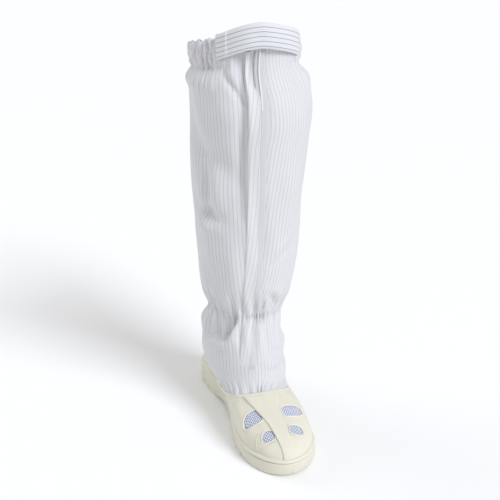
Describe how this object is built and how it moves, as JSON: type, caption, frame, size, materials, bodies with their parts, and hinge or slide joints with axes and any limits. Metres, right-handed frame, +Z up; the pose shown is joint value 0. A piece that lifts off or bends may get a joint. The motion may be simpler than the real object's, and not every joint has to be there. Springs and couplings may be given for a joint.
{
  "type": "cleanroom boot",
  "caption": "Knee-high left cleanroom boot: moulded sole, low lasted upper with mesh windows, striped fabric leg with a front zip lap, gathered ankle and a strapped collar.",
  "frame": {"origin": "on the floor, under the middle of the whole boot's bounding box", "axes": "+Z up along the shaft, toe towards -Y, heel towards +Y, lateral side of this left foot towards +X"},
  "size_m": [0.1458, 0.272, 0.5075],
  "materials": {
    "sole": "satin moulded polyurethane",
    "rand": "satin",
    "insole": "matt",
    "upper": "fine grained coated cloth",
    "trim": "fine grained coated cloth",
    "mesh": "open mesh",
    "shaft": "woven with grey conductive lines",
    "lap": "woven with grey conductive lines",
    "zip": "woven tape",
    "strap": "woven with grey conductive lines"
  },
  "bodies": {
    "root": {"outsole": "sole", "rand": "rand", "insole": "insole", "upper": "upper", "vamp_strip": "trim", "topline_binding": "trim", "heel_strip": "trim", "mesh_medial_rear": "mesh", "mesh_lateral_rear": "mesh", "mesh_medial_front": "mesh", "mesh_lateral_front": "mesh", "shaft": "shaft", "zip_lap": "lap", "zip_strip": "zip", "collar_strap": "strap"}
  },
  "joints": []
}
